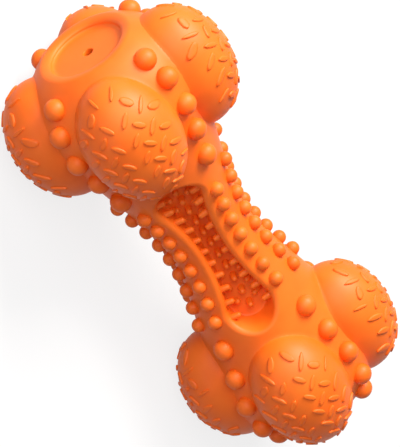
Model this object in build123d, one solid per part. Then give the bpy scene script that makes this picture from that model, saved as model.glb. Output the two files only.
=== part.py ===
from build123d import *
import os
from math import asin, atan2, cos, degrees, radians, sin, sqrt

# Rubber chew bone with a reed squeaker in each head, lying on two lobes of each head.
# Millimetres. X runs along the toy, +Z is up, the origin is under the middle of the toy.

# Core, a solid of revolution about the toy's axis
overall_length = 160.0
waist_radius = 14.7
head_radius = 26.9
head_inset = 19.6
rim_radius = 15.5
waist_blend = 17.6
crown_blend = 5.6
lip_round = 1.1

# Lobes, four long spheroids round each head
lobe_count = 4
lobe_inset = 23.0
lobe_half_length = 21.1
lobe_radius = 15.2
lobe_offset = 22.4
lobe_pole_radius = 0.8

# Treads, raised pointed plates in columns along the outside of each lobe
tread_columns = 4
longest_column = 7
tread_column_pitch = 3.0
tread_pitch = 6.15
tread_lean = 45.0
tread_length = 4.2
tread_shoulder = 1.7
tread_width = 1.4
tread_rise = 0.5
tread_root = 0.8

# Big nubs, one row on each saddle between two lobes
big_nub_insets = (5.6, 13.1, 23.9, 34.5, 45.5)
big_nub_radius = 3.5
big_nub_height = 3.5
big_nub_dome = 2.7

# Small nubs, staggered rows along the shaft on both sides of each slot
small_nub_pitch = 6.83
small_nub_radius = 2.35
small_nub_height = 2.8
small_nub_dome = 2.1
inner_row_angle = 40.3
outer_row_angle = 71.5
whole_row_reach = 3
side_row_reach = 4
half_row_reach = 3.5
nub_root = 1.5

# Peg slots, one in the front of the shaft and one in the back
slot_length = 62.6
slot_waist_width = 7.6
slot_end_radius = 7.4
slot_depth = 8.5
slot_floor_bend = 88.0
slot_floor_round = 2.2
slot_lip_round = 1.5

# Moulded pegs, fanned across each slot and pointing at a line above its floor
peg_rows = 11
peg_pitch = 5.12
peg_fan = (-78.0, -42.0, 0.0, 42.0, 78.0)
peg_focus_height = 5.2
peg_length = 3.3
peg_tip_gap = 2.1
peg_root_radius = 1.05
peg_tip_radius = 0.65
peg_root = 1.0

# Head recess and the bonded disc that closes it
recess_depth = 2.3
plug_radius = 12.2
plug_thickness = 4.0
air_hole_radius = 1.95
bond_gap = 0.05

# Squeaker barrel, held by the rubber behind the disc
flange_radius = 10.5
flange_thickness = 1.5
barrel_radius = 8.5
barrel_wall = 1.2
barrel_length = 16.0
barrel_end_wall = 1.6

# Air chamber behind the barrel
chamber_inset = 30.0
chamber_radius = 14.0

# Reed channel, reed and wedge, pressed together into the barrel's end wall
throat_radius = 3.0
throat_gap = 0.05
channel_flat = 0.4
channel_length = 10.5
channel_stub = 1.0
channel_bore_radius = 1.4
channel_bore_drop = 0.9
channel_tip_wall = 1.2
reed_window_width = 2.0
reed_window_margin = 1.0
reed_thickness = 0.2
reed_width = 4.0
reed_reach = 9.8
reed_gap = 0.1
wedge_stub = 1.0

# Places worked out from the sizes above
half_length = overall_length / 2
head_x = half_length - head_inset
lobe_x = half_length - lobe_inset
lobe_step = 360 / lobe_count
flare_slope = (head_radius - waist_radius) / (head_x - waist_blend / 2 - crown_blend / 2)
crown_x = head_x - crown_blend
dome_drop = head_radius - rim_radius
dome_radius = (head_inset**2 + dome_drop**2) / (2 * dome_drop)
slot_end_x = slot_length / 2 - slot_end_radius
slot_half_waist = slot_waist_width / 2
slot_side_bend = (slot_end_x**2 + slot_half_waist**2 - slot_end_radius**2) / (
    2 * (slot_end_radius - slot_half_waist)
)
plug_back = recess_depth + plug_thickness
barrel_back = plug_back + barrel_length
end_wall_front = barrel_back - barrel_end_wall
on_base = (Align.CENTER, Align.CENTER, Align.MIN)


def core_radius(x):
    """Radius of the core at x: a parabola at the waist, a cone, a parabola at the crown, then an arc."""
    x = abs(x)
    if x < waist_blend:
        return waist_radius + flare_slope * x**2 / (2 * waist_blend)
    if x < crown_x:
        return waist_radius + flare_slope * (x - waist_blend / 2)
    if x < head_x:
        return head_radius - flare_slope * (head_x - x) ** 2 / (2 * crown_blend)
    return head_radius - dome_radius + sqrt(dome_radius**2 - (x - head_x) ** 2)


def core_slope(x):
    """Rise of the core's radius per unit of x, for x of 0 or more."""
    if x < waist_blend:
        return flare_slope * x / waist_blend
    if x < crown_x:
        return flare_slope
    if x < head_x:
        return flare_slope * (head_x - x) / crown_blend
    return -(x - head_x) / sqrt(dome_radius**2 - (x - head_x) ** 2)


def slot_half_width(x):
    """Half width of the slot's mouth at x: a long inward arc, then the round end."""
    x = abs(x)
    tangent_x = slot_end_x * slot_side_bend / (slot_side_bend + slot_end_radius)
    if x < tangent_x:
        return slot_half_waist + slot_side_bend - sqrt(slot_side_bend**2 - x**2)
    return sqrt(max(slot_end_radius**2 - (x - slot_end_x) ** 2, 0))


def slot_floor(x):
    """Height of the slot's floor above the toy's axis at x."""
    return waist_radius - slot_depth + slot_floor_bend - sqrt(slot_floor_bend**2 - x**2)


def turned(shape, angle):
    """The shape turned about the toy's axis."""
    return Rot(angle, 0, 0) * shape


def both_ends(shape):
    """The shape, which lies astride the XZ plane, and its copy at the other end of the toy."""
    return [shape, Rot(0, 0, 180) * shape]


def make_core():
    """The core without its slots, turned from its outline."""
    waist_end = (waist_blend, core_radius(waist_blend))
    crown_start = (crown_x, core_radius(crown_x))
    crown = (head_x, head_radius)
    rim = (half_length, rim_radius)
    outline = [
        Bezier((0, waist_radius), (waist_blend / 2, waist_radius), waist_end),
        Line(waist_end, crown_start),
        Bezier(crown_start, ((crown_x + head_x) / 2, head_radius), crown),
        TangentArc(crown, rim, tangent=(1, 0)),
        Line(rim, (half_length, 0)),
        Line((half_length, 0), (0, 0)),
        Line((0, 0), (0, waist_radius)),
    ]
    half = turned(revolve(make_face(outline), Axis.X), lobe_step / 2)
    return half + Rot(0, 0, 180) * half


def make_slot():
    """The space of one slot, open towards +Z, with a bowed floor and rounded lower corners."""
    reach = slot_side_bend / (slot_side_bend + slot_end_radius)
    shoulder = (slot_end_x * reach, slot_half_width(slot_end_x * reach))
    left = (-shoulder[0], shoulder[1])
    side = ThreePointArc(left, (0, slot_half_waist), shoulder)
    end = ThreePointArc(shoulder, (slot_length / 2, 0), (shoulder[0], -shoulder[1]))
    outline = make_face([side, end, mirror(side, about=Plane.XZ), mirror(end, about=Plane.YZ)])
    top = head_radius
    low = slot_floor(0)
    floor_reach = slot_length / 2 + slot_end_radius
    floor = ThreePointArc(
        (-floor_reach, slot_floor(floor_reach)), (0, low), (floor_reach, slot_floor(floor_reach))
    )
    walls = Polyline(floor @ 1, (floor_reach, top), (-floor_reach, top), floor @ 0)
    side_view = Plane.XZ * make_face([floor, walls])
    block = extrude(side_view, slot_end_radius * 2, both=True)
    space = extrude(outline, top) & block
    floor_face = space.faces().sort_by(Axis.Z)[0]
    return fillet(floor_face.edges(), slot_floor_round)


def make_tread(x, y, lean):
    """A pointed plate square on a lobe's skin, whose place and lean are those that show in the lobe's plan."""
    z = lobe_radius * sqrt(1 - (x / lobe_half_length) ** 2 - (y / lobe_radius) ** 2)
    out = Vector(x / lobe_half_length**2, y / lobe_radius**2, z / lobe_radius**2)
    flat = Vector(cos(radians(lean)), sin(radians(lean)), 0)
    along = flat - Vector(0, 0, flat.dot(out) / out.Z)
    tip = along.length * tread_length / 2
    shoulder = along.length * tread_shoulder / 2
    side = tread_width / 2
    corners = [(tip, 0), (shoulder, side), (-shoulder, side), (-tip, 0), (-shoulder, -side), (shoulder, -side)]
    outline = make_face(Polyline(*corners, close=True))
    skin = Plane(origin=(x, y, z), x_dir=along, z_dir=out)
    return skin * Pos(0, 0, -tread_root) * extrude(outline, tread_root + tread_rise)


def make_treads():
    """The treads of a lobe: columns on both sides of a bare middle, each a tread shorter than the last."""
    treads = []
    for column in range(1, tread_columns + 1):
        count = longest_column + 1 - column
        y = column * tread_column_pitch
        lean = tread_lean if column % 2 else -tread_lean
        for k in range(count):
            x = (k - (count - 1) / 2) * tread_pitch
            treads += [make_tread(x, y, lean), make_tread(x, -y, -lean)]
    return treads


def make_lobe():
    """One lobe with its treads, a spheroid along the toy with a small flat at each pole."""
    trim = degrees(asin(lobe_pole_radius / lobe_radius))
    arc = EllipticalCenterArc(
        (0, 0), lobe_half_length, lobe_radius, start_angle=180 + trim, arc_size=180 - 2 * trim
    )
    start, stop = arc @ 0, arc @ 1
    ends = Polyline(stop, (stop.X, 0), (start.X, 0), start)
    spheroid = revolve(Plane.XZ * make_face([arc, ends]), Axis.X)
    return Pos(lobe_x, 0, lobe_offset) * (spheroid + make_treads())


def make_nub(radius, height, dome):
    """A round nub with a domed top, standing on z = 0 with its root below it."""
    shoulder = (radius, height - dome)
    dome_arc = TangentArc((0, height), shoulder, tangent=(1, 0))
    sides = Polyline(shoulder, (radius, -nub_root), (0, -nub_root), (0, height))
    return revolve(Plane.XZ * make_face([dome_arc, sides]), Axis.Z)


def on_core(nub, x):
    """The nub standing square on the core at x, on the side that faces +Z."""
    lean = degrees(atan2(core_slope(x), 1))
    return Pos(x, 0, core_radius(x)) * Rot(0, -lean, 0) * nub


def make_big_nubs():
    """The rows of big nubs on the saddles between the lobes."""
    nub = make_nub(big_nub_radius, big_nub_height, big_nub_dome)
    row = []
    for inset in big_nub_insets:
        row += both_ends(on_core(nub, half_length - inset))
    return [turned(n, lobe_step * (k + 0.5)) for k in range(lobe_count) for n in row]


def make_small_nubs():
    """The staggered rows of small nubs, alike on both slot sides of the shaft."""
    nub = make_nub(small_nub_radius, small_nub_height, small_nub_dome)
    rows = (
        (-inner_row_angle, 0, whole_row_reach),
        (inner_row_angle, 0.5, half_row_reach),
        (-outer_row_angle, 0.5, half_row_reach),
        (outer_row_angle, 0, side_row_reach),
    )
    nubs = []
    for angle, first, last in rows:
        for k in range(int(last - first) + 1):
            place = on_core(nub, (first + k) * small_nub_pitch)
            pair = both_ends(place) if first + k > 0 else [place]
            nubs += [turned(n, half - angle) for half in (0, 180) for n in pair]
    return nubs


def make_pegs():
    """The fan of pegs in every row of both slots, each rooted in the slot's wall or floor."""
    pegs = []
    for row in range(peg_rows):
        x = (row - (peg_rows - 1) / 2) * peg_pitch
        focus = slot_floor(x) + peg_focus_height
        for angle in peg_fan:
            tilt = radians(abs(angle))
            to_floor = peg_focus_height / cos(tilt)
            to_wall = slot_half_width(x) / sin(tilt) if tilt else to_floor
            reach = min(to_floor, to_wall)
            length = min(peg_length, reach - peg_tip_gap)
            peg = Pos(0, 0, reach - length) * Cone(
                peg_tip_radius, peg_root_radius, length + peg_root, align=on_base
            )
            pegs.append(Pos(x, 0, focus) * Rot(180 - angle, 0, 0) * peg)
    return pegs + [turned(peg, 180) for peg in pegs]


def bore(radius, near, far):
    """A round plug of space on the head's axis, between two depths below the head's end."""
    return Pos(0, 0, -far) * Cylinder(radius, far - near, align=on_base)


def make_socket():
    """The space inside a head: disc seat, flange seat, barrel bore and air chamber."""
    seat = bore(plug_radius + bond_gap, 0, plug_back)
    flange_seat = bore(flange_radius + bond_gap, plug_back, plug_back + flange_thickness)
    barrel_bore = bore(barrel_radius + bond_gap, plug_back, chamber_inset)
    chamber = Pos(0, 0, -chamber_inset) * Sphere(chamber_radius)
    return seat + flange_seat + barrel_bore + chamber


def make_plug():
    """The rubber disc that closes the head, with its air hole."""
    return bore(plug_radius, recess_depth, plug_back) - bore(air_hole_radius, recess_depth, plug_back)


def make_barrel():
    """The flanged plastic barrel, with a throat through its end wall."""
    outside = bore(barrel_radius, plug_back, barrel_back)
    outside += bore(flange_radius, plug_back, plug_back + flange_thickness)
    inside = bore(barrel_radius - barrel_wall, plug_back, end_wall_front)
    return outside - inside - bore(throat_radius, end_wall_front, barrel_back)


def throat_piece(low, high, near, far):
    """A rod that fits the throat, kept between two heights on the local X axis."""
    rod = bore(throat_radius - throat_gap, near, far)
    middle = Pos((low + high) / 2, 0, -(near + far) / 2)
    return rod & (middle * Box(high - low, 2 * throat_radius, far - near))


def make_channel():
    """The reed channel: a D-shaped tube with a window in its flat and a blind tip."""
    tip = end_wall_front - channel_length
    root = barrel_back + channel_stub
    rod = throat_piece(-throat_radius, channel_flat, tip, root)
    passage = Pos(-channel_bore_drop, 0, 0) * bore(channel_bore_radius, tip + channel_tip_wall, root)
    near = tip + channel_tip_wall + reed_window_margin
    far = end_wall_front - reed_window_margin
    height = channel_flat + channel_bore_drop
    window = Pos((channel_flat - channel_bore_drop) / 2, 0, -(near + far) / 2)
    return rod - passage - window * Box(height, reed_window_width, far - near)


def make_reed():
    """The thin reed over the window, with its root in the throat."""
    tip = end_wall_front - reed_reach
    height = channel_flat + reed_gap + reed_thickness / 2
    return Pos(height, 0, -(tip + barrel_back) / 2) * Box(reed_thickness, reed_width, barrel_back - tip)


def make_wedge():
    """The wedge that shuts the rest of the throat above the reed's root."""
    low = channel_flat + 2 * reed_gap + reed_thickness
    return throat_piece(low, throat_radius, end_wall_front, barrel_back + wedge_stub)


def head_plane(sign):
    """A frame on a head's end: local Z points out of the head and local X points up."""
    return Plane(origin=(sign * half_length, 0, axis_height), x_dir=(0, 0, 1), z_dir=(sign, 0, 0))


def make_body():
    """The moulded rubber body, built round the X axis with a slot facing +Z and then laid down."""
    slots = [make_slot(), turned(make_slot(), 180)]
    core = make_core()
    slotted = core - slots
    slotted = fillet(new_edges(core, *slots, combined=slotted), slot_lip_round)
    lobes = [turned(b, lobe_step * k) for k in range(lobe_count) for b in both_ends(lobe)]
    laid = Pos(0, 0, axis_height) * Rot(0, 0, 180) * Rot(-lobe_step / 2, 0, 0)
    solid = laid * (slotted + lobes)
    solid -= [head_plane(sign) * make_socket() for sign in (-1, 1)]
    along = solid.edges().group_by(Axis.X)
    solid = fillet(along[0] + along[-1], lip_round)
    for group in (make_big_nubs(), make_small_nubs(), make_pegs()):
        solid += [laid * piece for piece in group]
    return solid


# The toy rests on the treads of its two lower lobes at each head
lobe = make_lobe()
axis_height = -turned(lobe, 180 - lobe_step / 2).bounding_box().min.Z

os.makedirs("parts", exist_ok=True)
export_step(make_body(), "parts/toy_body.step")
for end_name, sign in (("left", -1), ("right", 1)):
    head = head_plane(sign)
    export_step(head * make_plug(), f"parts/end_plug_{end_name}.step")
    export_step(head * make_barrel(), f"parts/squeaker_barrel_{end_name}.step")
    export_step(head * make_channel(), f"parts/reed_channel_{end_name}.step")
    export_step(head * make_reed(), f"parts/reed_{end_name}.step")
    export_step(head * make_wedge(), f"parts/reed_wedge_{end_name}.step")
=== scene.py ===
import math

import bmesh
import bpy
import numpy as np
from mathutils import Matrix, Vector


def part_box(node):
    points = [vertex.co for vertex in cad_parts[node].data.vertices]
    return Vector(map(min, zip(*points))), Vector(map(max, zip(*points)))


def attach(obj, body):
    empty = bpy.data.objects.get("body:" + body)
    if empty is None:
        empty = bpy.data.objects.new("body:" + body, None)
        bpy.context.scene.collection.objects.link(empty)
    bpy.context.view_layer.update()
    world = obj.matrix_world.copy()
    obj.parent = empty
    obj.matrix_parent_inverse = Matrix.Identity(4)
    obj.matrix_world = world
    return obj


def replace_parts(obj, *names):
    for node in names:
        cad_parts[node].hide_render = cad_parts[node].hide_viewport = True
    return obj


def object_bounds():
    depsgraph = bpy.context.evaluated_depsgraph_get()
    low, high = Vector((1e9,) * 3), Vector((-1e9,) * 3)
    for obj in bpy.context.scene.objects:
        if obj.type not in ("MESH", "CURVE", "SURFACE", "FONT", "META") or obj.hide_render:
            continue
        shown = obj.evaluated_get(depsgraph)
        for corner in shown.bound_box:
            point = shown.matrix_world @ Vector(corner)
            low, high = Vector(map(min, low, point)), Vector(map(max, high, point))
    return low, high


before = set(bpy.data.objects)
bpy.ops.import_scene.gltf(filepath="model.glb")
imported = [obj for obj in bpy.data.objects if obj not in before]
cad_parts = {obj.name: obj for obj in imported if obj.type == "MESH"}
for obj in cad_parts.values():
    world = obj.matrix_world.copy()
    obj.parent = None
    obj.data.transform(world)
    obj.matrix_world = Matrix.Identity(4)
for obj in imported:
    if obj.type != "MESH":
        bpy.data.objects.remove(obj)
cad_low, cad_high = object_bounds()
plug_low, plug_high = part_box("end_plug_left")

# Shapes are worked out in millimetres in the toy's own frame: X along the toy, front slot facing +Z.
MM = 0.001

# Sizes read from the frame
half_length = (cad_high.x - cad_low.x) / 2 / MM
axis_height = (plug_low.z + plug_high.z) / 2 / MM
plug_radius = (plug_high.z - plug_low.z) / 2 / MM
recess_depth = (plug_low.x - cad_low.x) / MM
plug_back = (plug_high.x - cad_low.x) / MM

# Core
waist_radius = 14.7
head_radius = 26.9
head_inset = 19.6
rim_radius = 15.5
waist_blend = 17.6
crown_blend = 5.6
rim_round = 2.4
lip_drop = 1.35
seat_gap = 0.05
flange_radius = 10.55
flange_back = 7.8
barrel_radius = 8.55
chamber_inset = 30.0
chamber_radius = 14.0

# Lobes and their treads
lobe_count = 4
lobe_inset = 23.0
lobe_half_length = 21.4
lobe_radius = 15.5
lobe_offset = 22.4
lobe_seat = 3.0
crease_blend = 0.6
crease_under = 0.75
tread_rise = 0.5
tread_flat = 0.025
tread_sink = 0.5
tread_length = 4.5
tread_width = 1.75
tread_pitch = 6.35
tread_shift = 0.5
longest_tread = 6.6
tread_point = 3
tread_end_edge = 12
tread_side_edge = 8
tread_column = 3.0
tread_columns = 4
longest_column = 7

# Nubs
big_nub_insets = (5.6, 13.1, 23.9, 34.5, 45.5)
big_nub_radius = 3.5
big_nub_height = 3.7
small_nub_pitch = 6.83
small_nub_radius = 2.35
small_nub_height = 3.0
nub_wall = 0.7
nub_root = 1.5
inner_row_angle = 40.3
inner_row_nubs = 7
near_row_angle = 41.5
near_row_nubs = 8
outer_row_angle = 71.5
outer_row_nubs = 8
far_row_nubs = 9

# Peg slots
slot_length = 62.6
slot_waist_width = 7.6
slot_end_radius = 7.4
slot_depth = 8.5
slot_floor_bend = 88.0
slot_floor_round = 0.8
slot_lip_round = 1.7
slot_draft = math.radians(8)
shaft_reach = 33.6

# Pegs
peg_rows = 11
peg_pitch = 5.12
wall_fan = math.radians(78)
end_fan = math.radians(42)
end_peg_start = 12.0
far_wall_pitch = 5.45
far_wall_shift = -0.3
peg_focus_height = 5.2
peg_length = 3.3
peg_tip_gap = 1.55
peg_root_radius = 1.25
peg_tip_radius = 1.0
peg_tip_dome = 0.8
peg_root = 1.0

# Vent disc
vent_radius = 1.75
vent_round = 0.15
bond_rise = 0.95
bond_reach = 1.5
bond_sink = 0.08

# Places worked out from the sizes above
quarter = math.pi / 2
head_x = half_length - head_inset
lobe_x = half_length - lobe_inset
crown_x = head_x - crown_blend
flare_slope = (head_radius - waist_radius) / (head_x - waist_blend / 2 - crown_blend / 2)
dome_drop = head_radius - rim_radius
dome_radius = (head_inset**2 + dome_drop**2) / (2 * dome_drop)
dome_centre = head_radius - dome_radius
slot_end_x = slot_length / 2 - slot_end_radius
slot_half_waist = slot_waist_width / 2
slot_side_bend = (slot_end_x**2 + slot_half_waist**2 - slot_end_radius**2) / (
    2 * (slot_end_radius - slot_half_waist)
)
slot_turn = math.atan2(slot_half_waist + slot_side_bend, -slot_end_x)
slot_lean = math.asin(slot_end_x / (slot_side_bend + slot_end_radius))

# Grid steps
end_steps = 112
side_steps = 90
settle_steps = 6
slot_floor_steps = 7
slot_fillet_steps = 5
slot_wall_steps = 7
slot_lip_steps = 9
shaft_steps = 25
shaft_crowding = 1.4
core_rows = 44
dome_rows = 42
roll_rows = 9
chamber_rows = 16
lobe_rows = 97
lobe_columns = 129
tread_rows = 11
tread_across = 7
nub_rows = 9
nub_columns = 25
peg_tip_rows = 4
peg_columns = 13
disc_rows = 6
disc_columns = 97

# Distance at which points are merged, and a guard against dividing by nothing
weld_gap = 0.002
tiny = 1e-9


def laid(points):
    """Toy frame to row frame: an eighth of a turn about the axis, half a turn about Z, then a lift."""
    x, y, z = np.moveaxis(np.asarray(points, float), -1, 0)
    tilt = math.pi / lobe_count
    across = y * math.cos(tilt) + z * math.sin(tilt)
    up = z * math.cos(tilt) - y * math.sin(tilt) + axis_height
    return MM * np.stack([-x, -across, up], -1)


def turned(points, angle):
    """The points turned about the toy's axis, by an angle that takes +Z towards +Y."""
    x, y, z = np.moveaxis(points, -1, 0)
    c, s = math.cos(angle), math.sin(angle)
    return np.stack([x, y * c + z * s, z * c - y * s], -1)


def other_end(points):
    """The points at the other end of the toy: half a turn about Z."""
    return points * np.array([-1.0, -1.0, 1.0])


def rounded(points, around):
    """An outline of (x, radius) rows carried round the toy's axis at the given azimuths."""
    x, r = np.moveaxis(np.asarray(points, float), -1, 0)
    ring = np.stack([np.sin(around), np.cos(around)], -1)
    return np.concatenate(
        [np.broadcast_to(x[:, None, None], (len(x), len(around), 1)), r[:, None, None] * ring], -1
    )


def piece(name, patches, material, node_name="toy_body"):
    """A smooth closed mesh from grids of points, whose last three axes are row, column and XYZ.

    Each grid gives a quad between neighbouring rows and columns. Points at one place are merged, which
    closes seams and poles, and faces are turned outwards. The piece stands for a CAD node or part of one.
    """
    corners, quads, first = [], [], 0
    for patch in patches:
        rows, columns = patch.shape[-3:-1]
        size = rows * columns
        copies = patch.size // (3 * size)
        low = (np.arange(rows - 1)[:, None] * columns + np.arange(columns - 1)).reshape(-1, 1)
        faces = low + np.array([0, 1, columns + 1, columns])
        starts = first + size * np.arange(copies)
        quads.append((faces[None] + starts[:, None, None]).reshape(-1, 4))
        corners.append(laid(patch).reshape(-1, 3))
        first += size * copies
    corners, quads = np.concatenate(corners), np.concatenate(quads)
    mesh = bpy.data.meshes.new(name)
    mesh.vertices.add(len(corners))
    mesh.vertices.foreach_set("co", corners.astype(np.float32).ravel())
    mesh.loops.add(quads.size)
    mesh.loops.foreach_set("vertex_index", quads.astype(np.int32).ravel())
    mesh.polygons.add(len(quads))
    mesh.polygons.foreach_set("loop_start", np.arange(0, quads.size, 4, dtype=np.int32))
    mesh.update(calc_edges=True)
    welded = bmesh.new()
    welded.from_mesh(mesh)
    bmesh.ops.remove_doubles(welded, verts=welded.verts, dist=weld_gap * MM)
    bmesh.ops.recalc_face_normals(welded, faces=welded.faces)
    welded.to_mesh(mesh)
    welded.free()
    mesh.polygons.foreach_set("use_smooth", np.ones(len(mesh.polygons), bool))
    mesh.materials.append(material)
    made = bpy.data.objects.new(name, mesh)
    bpy.context.scene.collection.objects.link(made)
    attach(made, "toy")
    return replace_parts(made, node_name)


def core_radius(x):
    """Radius of the core at x: a parabola at the waist, a cone, a parabola at the crown, and an arc."""
    x = np.abs(x)
    waist = waist_radius + flare_slope * x**2 / (2 * waist_blend)
    cone = waist_radius + flare_slope * (x - waist_blend / 2)
    crown = head_radius - flare_slope * (head_x - x) ** 2 / (2 * crown_blend)
    dome = dome_centre + np.sqrt(np.maximum(dome_radius**2 - (x - head_x) ** 2, 0))
    return np.select([x < waist_blend, x < crown_x, x < head_x], [waist, cone, crown], dome)


def core_slope(x):
    """Rise of the core's radius per unit of x."""
    far = np.abs(x)
    past = np.clip(far - head_x, 0, half_length - head_x)
    dome = -past / np.sqrt(dome_radius**2 - past**2)
    rise = np.select(
        [far < waist_blend, far < crown_x, far < head_x],
        [flare_slope * far / waist_blend, flare_slope, flare_slope * (head_x - far) / crown_blend],
        dome,
    )
    return np.sign(x) * rise


def core_distance(points):
    """Distance of points from the core: their radius less the core's, times the cosine of its slope."""
    x, y, z = np.moveaxis(points, -1, 0)
    return (np.hypot(y, z) - core_radius(x)) / np.sqrt(1 + core_slope(x) ** 2)


def lobe_distance(points):
    """Distance of points from the nearest lobe, to first order, for a spheroid without its treads."""
    x, y, z = np.moveaxis(points, -1, 0)
    azimuth = np.arctan2(y, z)
    azimuth -= quarter * np.round(azimuth / quarter)
    r = np.hypot(y, z)
    near = np.stack([np.abs(x) - lobe_x, r * np.sin(azimuth), r * np.cos(azimuth) - lobe_offset], -1)
    axes = np.array([lobe_half_length, lobe_radius, lobe_radius])
    scaled = np.linalg.norm(near / axes, axis=-1)
    return scaled * (scaled - 1) / np.maximum(np.linalg.norm(near / axes**2, axis=-1), tiny)


def eased(points, normals, other_distance):
    """The points moved along their normals onto the soft union of core and lobes, which fills their crease.

    The union's distance is the lesser of the two, less a quarter of the blend width times the squared share
    by which their difference falls short of that width. Points under the other surface stop below the
    union, by most of their own depth.
    """
    below = crease_under * np.minimum(other_distance(points), 0)
    shift = np.zeros(points.shape[:-1])
    for _ in range(settle_steps):
        moved = points + shift[..., None] * normals
        core, lobe = core_distance(moved), lobe_distance(moved)
        share = np.maximum(crease_blend - np.abs(core - lobe), 0) / crease_blend
        union = np.minimum(core, lobe) - share**2 * crease_blend / 4
        shift = np.clip(shift - union + below, 0, crease_blend / 2)
    return points + shift[..., None] * normals


def on_core(x, azimuth):
    """Point on the core at x and azimuth, with the unit vectors out of it, along it and round it."""
    x, azimuth = np.broadcast_arrays(np.asarray(x, float), np.asarray(azimuth, float))
    r, slope = core_radius(x), core_slope(x)
    s, c = np.sin(azimuth), np.cos(azimuth)
    scale = 1 / np.sqrt(1 + slope**2)
    point = np.stack([x, r * s, r * c], -1)
    out = np.stack([-slope * scale, s * scale, c * scale], -1)
    along = np.stack([scale, slope * s * scale, slope * c * scale], -1)
    round_it = np.stack([np.zeros_like(x), c, -s], -1)
    return point, out, along, round_it


def slot_floor(x):
    """Height of the slot's floor above the toy's axis at x: a long upward arc."""
    return waist_radius - slot_depth + slot_floor_bend - np.sqrt(slot_floor_bend**2 - x**2)


def slot_loop():
    """The slot's mouth in plan, a round end, a long inward arc, and their half turn, as a closed loop.

    Gives the points, their outward normals, the points of the middle line that they lead to, and the border
    of the front half of the shaft, as x and azimuth, that they lead to on the outside.
    """
    phi = np.linspace(-slot_turn, slot_turn, end_steps + 1)[:-1]
    psi = np.linspace(slot_lean, -slot_lean, side_steps + 1)[:-1]
    end_normal = np.stack([np.cos(phi), np.sin(phi)], -1)
    end = [slot_end_x, 0] + slot_end_radius * end_normal
    end_middle = np.broadcast_to([slot_end_x, 0], end.shape)
    end_border = np.stack([np.full(end_steps, shaft_reach), quarter * phi / slot_turn], -1)
    side_normal = np.stack([-np.sin(psi), np.cos(psi)], -1)
    side = [0, slot_half_waist + slot_side_bend] - slot_side_bend * side_normal
    side_middle = np.stack([slot_end_x * psi / slot_lean, np.zeros(side_steps)], -1)
    side_border = np.stack([shaft_reach * psi / slot_lean, np.full(side_steps, quarter)], -1)
    halves = ((end, side), (end_normal, side_normal), (end_middle, side_middle), (end_border, side_border))
    loops = []
    for parts in halves:
        half = np.concatenate(parts)
        loops.append(np.concatenate([half, -half, half[:1]]))
    return loops


def slot_patch():
    """The front half of the shaft with its slot, as a grid from the slot's middle line out to the border.

    Each row runs out from the middle line: over the floor, round the floor's fillet, up the drafted wall,
    round the lip and along the core. Both fillets are circles that touch the two surfaces that they join.
    """
    point, normal, middle, border = slot_loop()

    def rising(offset):
        plan = point + offset[:, None] * normal
        r = core_radius(plan[:, 0])
        height = np.sqrt(r**2 - plan[:, 1] ** 2)
        rise = r * core_slope(plan[:, 0]) * normal[:, 0] - plan[:, 1] * normal[:, 1]
        return height, rise / height

    def arc(centre_out, centre_up, radius, start, stop, steps):
        angle = start[:, None] + (stop - start)[:, None] * np.linspace(0, 1, steps)
        out = centre_out[:, None] + radius * np.cos(angle)
        up = centre_up[:, None] + radius * np.sin(angle)
        return out, up

    touch = np.full(len(point), slot_lip_round)
    for _ in range(settle_steps):
        height, slope = rising(touch)
        steep = np.sqrt(1 + slope**2)
        lip_up = height + slope * (slot_lip_round - touch) - slot_lip_round * steep
        touch = slot_lip_round * (1 - slope / steep)
    same = np.ones(len(point))
    lip = arc(
        same * slot_lip_round,
        lip_up,
        slot_lip_round,
        same * (math.pi - slot_draft),
        np.arctan2(1, -slope),
        slot_lip_steps,
    )
    wall_out, wall_up = lip[0][:, 0], lip[1][:, 0]
    floor_out = wall_out - slot_floor_round
    for _ in range(settle_steps):
        x = point[:, 0] + floor_out * normal[:, 0]
        floor_slope = normal[:, 0] * x / np.sqrt(slot_floor_bend**2 - x**2)
        floor_up = slot_floor(x) + slot_floor_round * np.sqrt(1 + floor_slope**2)
        drop = math.sin(slot_draft) * (floor_up - wall_up) - slot_floor_round
        floor_out = wall_out + drop / math.cos(slot_draft)
    fillet = arc(
        floor_out,
        floor_up,
        slot_floor_round,
        np.arctan2(-1, floor_slope),
        same * -slot_draft,
        slot_fillet_steps,
    )
    share = np.linspace(0, 1, slot_wall_steps)[1:-1]
    wall = [f[:, -1:] + share * (up[:, :1] - f[:, -1:]) for f, up in zip(fillet, lip)]
    out, up = (np.concatenate(parts, 1) for parts in zip(fillet, wall, lip))
    section = np.concatenate([point[:, None] + out[..., None] * normal[:, None], up[..., None]], -1)
    share = np.linspace(0, 1, slot_floor_steps)[:-1, None]
    plan = middle[:, None] + share * (section[:, :1, :2] - middle[:, None])
    floor = np.concatenate([plan, slot_floor(plan[..., :1])], -1)
    edge = section[:, -1]
    start = np.stack([edge[:, 0], np.arctan2(edge[:, 1], edge[:, 2])], -1)
    share = np.linspace(0, 1, shaft_steps)[1:, None] ** shaft_crowding
    skin = start[:, None] + share * (border - start)[:, None]
    outside = on_core(skin[..., 0], skin[..., 1])[0]
    return np.concatenate([floor, section, outside], 1)


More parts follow.
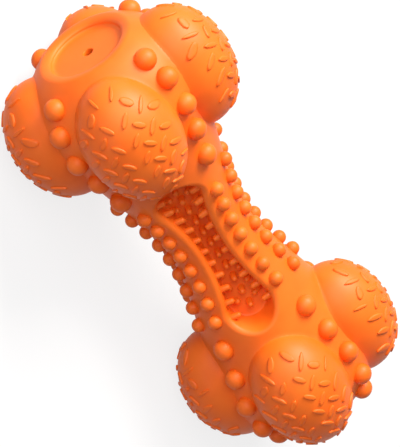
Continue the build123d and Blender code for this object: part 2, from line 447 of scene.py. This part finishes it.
def head_outline():
    """Outline of a head as (x, radius) rows: core, dome, rim, recess lip, seats, barrel bore and chamber.

    The rim is an arc that touches the dome, and the lip a quarter ellipse from it into the recess.
    """
    sweep = np.linspace(0, 1, roll_rows)[1:]
    along = np.linspace(shaft_reach, head_x, core_rows)
    core = np.stack([along, core_radius(along)], -1)
    rim_x = half_length - rim_round
    rim_up = dome_centre + math.sqrt((dome_radius - rim_round) ** 2 - (rim_x - head_x) ** 2)
    rim_start = math.atan2(rim_x - head_x, rim_up - dome_centre)
    angle = np.linspace(0, rim_start, dome_rows)[1:]
    dome = np.stack([head_x + dome_radius * np.sin(angle), dome_centre + dome_radius * np.cos(angle)], -1)
    angle = rim_start + (quarter - rim_start) * sweep
    rim = np.stack([rim_x + rim_round * np.sin(angle), rim_up + rim_round * np.cos(angle)], -1)
    seat_radius = plug_radius + seat_gap
    angle = quarter * sweep
    lip_reach = rim_up - seat_radius
    lip = np.stack(
        [
            half_length - lip_drop * (1 - np.cos(angle)),
            seat_radius + lip_reach * (1 - np.sin(angle)),
        ],
        -1,
    )
    seat_x = half_length - plug_back
    flange_x = half_length - flange_back
    seats = [
        (seat_x, seat_radius),
        (seat_x, flange_radius),
        (flange_x, flange_radius),
        (flange_x, barrel_radius),
    ]
    chamber_x = half_length - chamber_inset
    angle = np.linspace(math.asin(barrel_radius / chamber_radius), math.pi, chamber_rows)
    chamber = np.stack(
        [chamber_x + chamber_radius * np.cos(angle), chamber_radius * np.sin(angle)], -1
    )
    return np.concatenate([core, dome, rim, lip, seats, chamber])


def make_core(rubber):
    """The core's skin: two half shafts with their slots, and a head at each end, eased into the lobes."""
    shaft = slot_patch()
    around = np.linspace(-quarter, 3 * quarter, 2 * end_steps + 1)
    outline = head_outline()
    head = rounded(outline, around)
    skin_rows = np.argmax(outline[:, 0] > half_length - rim_round)
    _, normals, _, _ = on_core(outline[:skin_rows, :1], around)
    head[:skin_rows] = eased(head[:skin_rows], normals, lobe_distance)
    piece("toy_core", [shaft, turned(shaft, math.pi), head, other_end(head)], rubber)


def lobe_surface(latitude, longitude):
    """A spheroid about a line beside the toy's axis, with latitude along that line, and its normals."""
    ring = np.stack([np.sin(longitude), np.cos(longitude)], -1)
    x = np.sin(latitude)
    across = np.cos(latitude)[..., None] * ring
    point = np.concatenate([lobe_half_length * x[..., None], lobe_radius * across], -1)
    point = point + [lobe_x, 0, lobe_offset]
    normal = np.concatenate([x[..., None] / lobe_half_length, across / lobe_radius], -1)
    return point, normal / np.linalg.norm(normal, axis=-1, keepdims=True)


def lobe_patch():
    """One lobe: a spheroid eased into the core, with its underside held just below the core's skin."""
    latitude, longitude = np.meshgrid(
        np.linspace(-quarter, quarter, lobe_rows),
        np.linspace(-math.pi, math.pi, lobe_columns),
        indexing="ij",
    )
    point, normal = lobe_surface(latitude, longitude)
    point = eased(point, normal, core_distance)
    r = np.hypot(point[..., 1], point[..., 2])
    lift = np.maximum((core_radius(point[..., 0]) - lobe_seat) / r, 1)
    point[..., 1:] *= lift[..., None]
    return point


def tread_patch():
    """The treads of one lobe: flat plates at an eighth of a turn to the toy, in columns along the lobe.

    In plan the columns are evenly spaced on both sides of a bare middle, each one tread shorter than the
    last, with the lean of the treads reversed from column to column and from side to side. A tread's half
    width falls as one less a power of its length's share. Its height over the spheroid is even, drops at
    its edges as the root of one less a high power, and grows a little with the square of the way to its
    ends. Where the lobe is steep, a tread's plan is scaled down until its ends are near enough together.
    """
    numbers = np.arange(1, tread_columns + 1)
    counts = longest_column + 1 - numbers
    column = np.repeat(numbers, counts)
    place = np.concatenate([np.arange(n) - (n - 1) / 2 for n in counts])
    side = np.repeat([1, -1], len(column))
    column, place = np.tile(column, 2), np.tile(place, 2)
    lean = side * math.pi / 4 * np.where(column % 2, 1, -1)
    u = np.sin(quarter * np.linspace(-1, 1, tread_rows))[:, None]
    v = np.sin(quarter * np.linspace(-1, 1, tread_across))
    a = tread_length / 2 * u + 0 * v
    b = tread_width / 2 * (1 - np.abs(u) ** tread_point) * v
    edge = np.sqrt((1 - u**tread_end_edge) * (1 - v**tread_side_edge))
    rise = tread_rise * edge + tread_flat * a**2 * (u**2 < 1)
    rise[:, [0, -1]] = -tread_sink
    rise[[0, -1]] = -tread_sink
    cos, sin = np.cos(lean)[:, None, None], np.sin(lean)[:, None, None]
    middle_x = (tread_shift + place * tread_pitch)[:, None, None]
    middle_y = (side * column * tread_column)[:, None, None]
    fit = np.ones(lean.shape)
    for _ in range(settle_steps):
        share = fit[:, None, None]
        x = middle_x + share * (a * cos - b * sin)
        y = middle_y + share * (a * sin + b * cos)
        latitude = np.arcsin(np.clip(x / lobe_half_length, -1, 1))
        longitude = np.arcsin(np.clip(y / (lobe_radius * np.cos(latitude)), -1, 1))
        point, normal = lobe_surface(latitude, longitude)
        ridge = point[:, :, tread_across // 2]
        length = np.linalg.norm(ridge[:, -1] - ridge[:, 0], axis=-1)
        fit *= np.minimum(longest_tread / length, 1)
    return point + rise[..., None] * normal


def make_lobes(rubber):
    """The four lobes of each head, each with its treads."""
    lobe, treads = lobe_patch(), tread_patch()
    places = ("front_top", "front_bottom", "back_bottom", "back_top")
    for step, place in enumerate(places):
        patches = [turned(patch, step * quarter) for patch in (lobe, treads)]
        piece(f"lobe_left_{place}", patches, rubber)
    for step, place in enumerate(places):
        patches = [turned(other_end(patch), step * quarter) for patch in (lobe, treads)]
        piece(f"lobe_right_{place}", patches, rubber)


def nub_patch(x, azimuth, radius, height):
    """Nubs standing on the core: a domed button on a short wall, carried round its own axis.

    The dome is a quarter ellipse, and the wall follows the core's own curve, which is the tangent plane
    less its height over the core, fading out towards the top of the nub.
    """
    sweep = np.linspace(0, quarter, nub_rows)
    r = np.append(radius * np.sin(sweep), [radius, 0])
    h = np.append(nub_wall + (height - nub_wall) * np.cos(sweep), [-nub_root, -nub_root])
    turn = np.linspace(0, 2 * math.pi, nub_columns)
    point, out, along, round_it = (v[:, None, None] for v in on_core(x, azimuth))
    along_part = (r[:, None] * np.cos(turn))[..., None] * along
    round_part = (r[:, None] * np.sin(turn))[..., None] * round_it
    plane = point + along_part + round_part
    settle = np.clip(1 - h / height, 0, 1)[:, None]
    return plane + (h[:, None] - settle * core_distance(plane))[..., None] * out


def make_nubs(rubber):
    """The rows of big nubs on the saddles, and the staggered rows of small nubs beside each slot."""
    saddles = quarter * (np.arange(lobe_count) + 0.5)
    for name, sign in (("left", 1), ("right", -1)):
        x, azimuth = np.meshgrid(sign * (half_length - np.array(big_nub_insets)), saddles)
        nubs = nub_patch(x.ravel(), azimuth.ravel(), big_nub_radius, big_nub_height)
        piece(f"big_nubs_{name}", [nubs], rubber)
    rows = (
        (inner_row_angle, inner_row_nubs),
        (-near_row_angle, near_row_nubs),
        (outer_row_angle, outer_row_nubs),
        (-outer_row_angle, far_row_nubs),
    )
    x = np.concatenate([small_nub_pitch * (np.arange(n) - (n - 1) / 2) for _, n in rows])
    azimuth = np.concatenate([np.full(n, -math.radians(angle)) for angle, n in rows])
    nubs = nub_patch(x, azimuth, small_nub_radius, small_nub_height)
    piece("small_nubs_front", [nubs], rubber)
    piece("small_nubs_back", [turned(nubs, math.pi)], rubber)


def peg_patch():
    """The pegs of one slot: tapered stubs with round tips, in rows, that point at a line over the floor.

    A peg's outline is a quarter ellipse at the tip and a cone down to its root, carried round its own axis.
    Whole rows have a peg on one wall and one on the floor. The half rows between them have one on the other
    wall, and near the slot's ends one more on each side of the floor.
    """
    whole = peg_pitch * (np.arange(peg_rows) - (peg_rows - 1) / 2)
    half = whole[:-1] + peg_pitch / 2
    far = far_wall_shift + half * far_wall_pitch / peg_pitch
    ends = half[np.abs(half) > end_peg_start]
    columns = ((whole, -wall_fan), (whole, 0.0), (far, wall_fan), (ends, -end_fan), (ends, end_fan))
    x = np.concatenate([places for places, _ in columns])
    fan = np.concatenate([np.full(len(places), lean) for places, lean in columns])
    tangent_x = slot_end_x * slot_side_bend / (slot_side_bend + slot_end_radius)
    side = slot_half_waist + slot_side_bend - np.sqrt(slot_side_bend**2 - x**2)
    end = np.sqrt(np.maximum(slot_end_radius**2 - (np.abs(x) - slot_end_x) ** 2, 0))
    half_width = np.where(np.abs(x) < tangent_x, side, end)
    to_floor = peg_focus_height / np.cos(fan)
    to_wall = half_width / np.maximum(np.abs(np.sin(fan)), tiny)
    reach = np.minimum(to_floor, to_wall)
    length = np.minimum(peg_length, reach - peg_tip_gap)
    sweep = np.linspace(0, quarter, peg_tip_rows)
    r = np.concatenate([peg_tip_radius * np.sin(sweep), [peg_root_radius, peg_root_radius, 0]])
    tip = np.concatenate([peg_tip_dome * peg_tip_radius * (1 - np.cos(sweep)), [0, 0, 0]])
    from_root = np.append(np.zeros(peg_tip_rows), [1, 1, 1])
    past_root = np.append(np.zeros(peg_tip_rows), [0, peg_root, peg_root])
    depth = (reach - length)[:, None] * (1 - from_root) + reach[:, None] * from_root + tip + past_root
    turn = np.linspace(0, 2 * math.pi, peg_columns)
    down = np.stack([0 * fan, -np.sin(fan), -np.cos(fan)], -1)
    across = np.stack([0 * fan, np.cos(fan), -np.sin(fan)], -1)
    focus = np.stack([x, 0 * x, slot_floor(x) + peg_focus_height], -1)
    ring_x = (r[:, None] * np.cos(turn))[None, ..., None] * np.array([1.0, 0, 0])
    ring_y = (r[:, None] * np.sin(turn))[None, ..., None] * across[:, None, None]
    return focus[:, None, None] + depth[..., None, None] * down[:, None, None] + ring_x + ring_y


def make_pegs(rubber):
    """The pegs of both slots."""
    pegs = peg_patch()
    piece("pegs_front", [pegs], rubber)
    piece("pegs_back", [turned(pegs, math.pi)], rubber)


def make_discs(rubber):
    """The vented discs in the recesses, as an outline carried round the toy's axis.

    It has a quarter circle at the hole's edge, a flat face, and a quarter ellipse up the recess wall.
    """
    front, back = half_length - recess_depth, half_length - plug_back
    edge = plug_radius + seat_gap + bond_sink
    angle = np.linspace(0, quarter, disc_rows)
    hole = np.stack(
        [front - vent_round * (1 - np.sin(angle)), vent_radius + vent_round * (1 - np.cos(angle))], -1
    )
    rise = np.stack(
        [front + bond_rise * (1 - np.cos(angle)), edge - bond_reach * (1 - np.sin(angle))], -1
    )
    face = np.linspace(hole[-1], rise[0], disc_rows)[1:-1]
    start, closing = [(back, vent_radius)], [(back, edge), (back, vent_radius)]
    outline = np.concatenate([start, hole, face, rise, closing])
    disc = rounded(outline, np.linspace(0, 2 * math.pi, disc_columns))
    for name, patch in (("left", disc), ("right", other_end(disc))):
        piece(f"vent_disc_{name}", [patch], rubber, f"end_plug_{name}")


def linear(hex_colour):
    """An sRGB hex colour as linear RGBA."""
    parts = [int(hex_colour[i : i + 2], 16) / 255 for i in (1, 3, 5)]
    return [c / 12.92 if c <= 0.04045 else ((c + 0.055) / 1.055) ** 2.4 for c in parts] + [1.0]


def node(tree, kind, settings=None, **inputs):
    """Adds a node, sets its properties, and sets or links its inputs by name."""
    made = tree.nodes.new(kind)
    for key, value in (settings or {}).items():
        setattr(made, key, value)
    for key, value in inputs.items():
        socket = made.inputs[key.replace("_", " ")]
        if isinstance(value, bpy.types.NodeSocket):
            tree.links.new(value, socket)
        else:
            socket.default_value = value
    return made


def new_material(name):
    """An empty node material and its tree."""
    made = bpy.data.materials.new(name)
    made.use_nodes = True
    made.node_tree.nodes.clear()
    return made, made.node_tree


def moulded_rubber():
    """Injection-moulded thermoplastic rubber: a satin skin with a faint grain and slight mottling.

    A mould's grain of about a tenth of a millimetre wouldn't show, so it is drawn as coarse as it needs to.
    """
    mottle_size = 14 * MM
    grain_size = 0.6 * MM
    grain_depth = 0.05 * MM
    material, tree = new_material("moulded_orange_rubber")
    place = node(tree, "ShaderNodeTexCoord").outputs["Object"]
    mottle = node(tree, "ShaderNodeTexNoise", Vector=place, Scale=1 / mottle_size, Detail=3.0)
    colour = node(tree, "ShaderNodeValToRGB", Fac=mottle.outputs["Fac"])
    colour.color_ramp.elements[0].position = 0.3
    colour.color_ramp.elements[0].color = linear("#F0660E")
    colour.color_ramp.elements[1].position = 0.7
    colour.color_ramp.elements[1].color = linear("#F8721A")
    grain = node(tree, "ShaderNodeTexNoise", Vector=place, Scale=1 / grain_size, Detail=2.0)
    rough = node(
        tree, "ShaderNodeMapRange", Value=mottle.outputs["Fac"], To_Min=0.44, To_Max=0.54
    )
    bump = node(
        tree, "ShaderNodeBump", Strength=0.12, Distance=grain_depth, Height=grain.outputs["Fac"]
    )
    skin = node(
        tree,
        "ShaderNodeBsdfPrincipled",
        Base_Color=colour.outputs["Color"],
        Roughness=rough.outputs["Result"],
        IOR=1.5,
        Specular_IOR_Level=0.35,
        Normal=bump.outputs["Normal"],
    )
    node(tree, "ShaderNodeOutputMaterial", Surface=skin.outputs["BSDF"])
    return material


def moulded_polypropylene():
    """Natural polypropylene: a waxy off-white moulding with a soft, slightly uneven gloss."""
    cloud_size = 4 * MM
    material, tree = new_material("natural_polypropylene")
    place = node(tree, "ShaderNodeTexCoord").outputs["Object"]
    cloud = node(tree, "ShaderNodeTexNoise", Vector=place, Scale=1 / cloud_size, Detail=2.0)
    colour = node(tree, "ShaderNodeValToRGB", Fac=cloud.outputs["Fac"])
    colour.color_ramp.elements[0].color = linear("#E4E2DA")
    colour.color_ramp.elements[1].color = linear("#F2F1EC")
    rough = node(tree, "ShaderNodeMapRange", Value=cloud.outputs["Fac"], To_Min=0.35, To_Max=0.45)
    skin = node(
        tree,
        "ShaderNodeBsdfPrincipled",
        Base_Color=colour.outputs["Color"],
        Roughness=rough.outputs["Result"],
        IOR=1.49,
    )
    node(tree, "ShaderNodeOutputMaterial", Surface=skin.outputs["BSDF"])
    return material


def rolled_brass():
    """Rolled brass strip: a warm metal gloss, broken up by fine rolling lines along the strip.

    The lines of a real strip are finer still, and are drawn as coarse as they need to be to show.
    """
    line_spacing = 0.1 * MM
    line_stretch = 20
    material, tree = new_material("rolled_brass_strip")
    place = node(tree, "ShaderNodeTexCoord").outputs["Object"]
    stretch = node(tree, "ShaderNodeMapping", Vector=place, Scale=(1 / line_stretch, 1, 1))
    lines = node(
        tree, "ShaderNodeTexNoise", Vector=stretch.outputs["Vector"], Scale=1 / line_spacing, Detail=2.0
    )
    rough = node(tree, "ShaderNodeMapRange", Value=lines.outputs["Fac"], To_Min=0.22, To_Max=0.38)
    skin = node(
        tree,
        "ShaderNodeBsdfPrincipled",
        Base_Color=linear("#D9B25F"),
        Metallic=1.0,
        Roughness=rough.outputs["Result"],
    )
    node(tree, "ShaderNodeOutputMaterial", Surface=skin.outputs["BSDF"])
    return material


def dress_squeakers():
    """The squeakers keep their solids and get their finishes."""
    plastic, brass = moulded_polypropylene(), rolled_brass()
    for end in ("left", "right"):
        for part, finish in (
            ("squeaker_barrel", plastic),
            ("reed_channel", plastic),
            ("reed_wedge", plastic),
            ("reed", brass),
        ):
            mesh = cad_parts[f"{part}_{end}"].data
            mesh.materials.clear()
            mesh.materials.append(finish)


# Camera, fitted to the photograph
view_azimuth = math.radians(-47.892)
view_elevation = math.radians(42.675)
view_roll = math.radians(92.878)
view_distance = 0.8709
aim_x = -2.2
aim_y = 0.15
aim_drop = 1.66
view_aim = MM * Vector((aim_x, aim_y, axis_height - aim_drop))
sensor_width = 36.0
lens_length = 218.6

# Floor, surround and lamps, in metres and watts
floor_half = 3.0
floor_whiteness = 0.8
surround_strength = 0.2
lamp_distance = 1.0


def view_axes():
    """The camera's right, up and back directions."""
    level = Vector((math.cos(view_azimuth), math.sin(view_azimuth), 0))
    back = Vector(
        (
            math.sin(view_azimuth) * math.cos(view_elevation),
            -math.cos(view_azimuth) * math.cos(view_elevation),
            math.sin(view_elevation),
        )
    )
    right = math.cos(view_roll) * level + math.sin(view_roll) * back.cross(level)
    return right, back.cross(right), back


def make_camera():
    """The camera at the photograph's place, turned about its line of sight."""
    right, up, back = view_axes()
    data = bpy.data.cameras.new("camera")
    data.sensor_width = sensor_width
    data.lens = lens_length
    data.clip_start, data.clip_end = 0.05, 20
    camera = bpy.data.objects.new("camera", data)
    turn = Matrix((right, up, back)).transposed().to_4x4()
    camera.matrix_world = Matrix.Translation(view_aim + view_distance * back) @ turn
    bpy.context.scene.collection.objects.link(camera)
    bpy.context.scene.camera = camera


def make_lamp(name, direction, size, power, colour):
    """A square lamp that faces the toy, from a direction given in the picture's right, up and front."""
    right, up, back = view_axes()
    way = (direction[0] * right + direction[1] * up + direction[2] * back).normalized()
    data = bpy.data.lights.new(name, "AREA")
    data.size = size
    data.energy = power
    data.color = linear(colour)[:3]
    lamp = bpy.data.objects.new(name, data)
    lamp.location = view_aim + lamp_distance * way
    lamp.rotation_euler = way.to_track_quat("Z", "Y").to_euler()
    bpy.context.scene.collection.objects.link(lamp)


def seen_directly(tree):
    """One for a ray from the camera, from a gloss or through glass, which sees white, and else nothing."""
    path = node(tree, "ShaderNodeLightPath").outputs
    seen = path["Is Camera Ray"]
    for kind in ("Is Glossy Ray", "Is Transmission Ray"):
        either = node(tree, "ShaderNodeMath", {"operation": "MAXIMUM"})
        tree.links.new(seen, either.inputs[0])
        tree.links.new(path[kind], either.inputs[1])
        seen = either.outputs[0]
    return seen


def make_floor():
    """A pale card floor, white to the camera apart from the toy's soft shadow."""
    material, tree = new_material("pale_card")
    card = node(tree, "ShaderNodeBsdfDiffuse", Color=linear("#77747C"))
    white_card = node(tree, "ShaderNodeBsdfDiffuse", Color=linear("#F8F8F8"))
    white = node(tree, "ShaderNodeEmission", Color=linear("#FFFFFF"), Strength=1.0)
    seen = node(tree, "ShaderNodeMixShader", Fac=floor_whiteness)
    tree.links.new(white_card.outputs[0], seen.inputs[1])
    tree.links.new(white.outputs[0], seen.inputs[2])
    mixed = node(tree, "ShaderNodeMixShader", Fac=seen_directly(tree))
    tree.links.new(card.outputs[0], mixed.inputs[1])
    tree.links.new(seen.outputs[0], mixed.inputs[2])
    node(tree, "ShaderNodeOutputMaterial", Surface=mixed.outputs[0])
    corners = floor_half * np.array([(-1, -1, 0), (1, -1, 0), (1, 1, 0), (-1, 1, 0)])
    mesh = bpy.data.meshes.new("floor")
    mesh.from_pydata(corners.tolist(), [], [(0, 1, 2, 3)])
    mesh.materials.append(material)
    floor = bpy.data.objects.new("floor", mesh)
    bpy.context.scene.collection.objects.link(floor)


def make_world():
    """An even pale surround, white where it is seen directly."""
    world = bpy.data.worlds.new("surround")
    world.use_nodes = True
    tree = world.node_tree
    tree.nodes.clear()
    light = node(tree, "ShaderNodeBackground", Color=linear("#FBFAFF"), Strength=surround_strength)
    white = node(tree, "ShaderNodeBackground", Color=linear("#FFFFFF"), Strength=1.0)
    mixed = node(tree, "ShaderNodeMixShader", Fac=seen_directly(tree))
    tree.links.new(light.outputs[0], mixed.inputs[1])
    tree.links.new(white.outputs[0], mixed.inputs[2])
    node(tree, "ShaderNodeOutputWorld", Surface=mixed.outputs[0])
    bpy.context.scene.world = world


def make_lights():
    """A key lamp to the picture's upper right, a fill over the camera, and a bounce from the lower left."""
    make_lamp("key", direction=(0.5, 0.72, 0.48), size=0.5, power=16.5, colour="#FFFAF4")
    make_lamp("fill", direction=(0.05, 0.3, 0.95), size=0.8, power=6.6, colour="#FFFFFF")
    make_lamp("bounce", direction=(-0.8, -0.4, 0.45), size=0.9, power=6.4, colour="#F6F2FF")


rubber = moulded_rubber()
make_core(rubber)
make_lobes(rubber)
make_nubs(rubber)
make_pegs(rubber)
make_discs(rubber)
dress_squeakers()
make_camera()
make_floor()
make_world()
make_lights()
bpy.context.scene.view_settings.view_transform = "Standard"
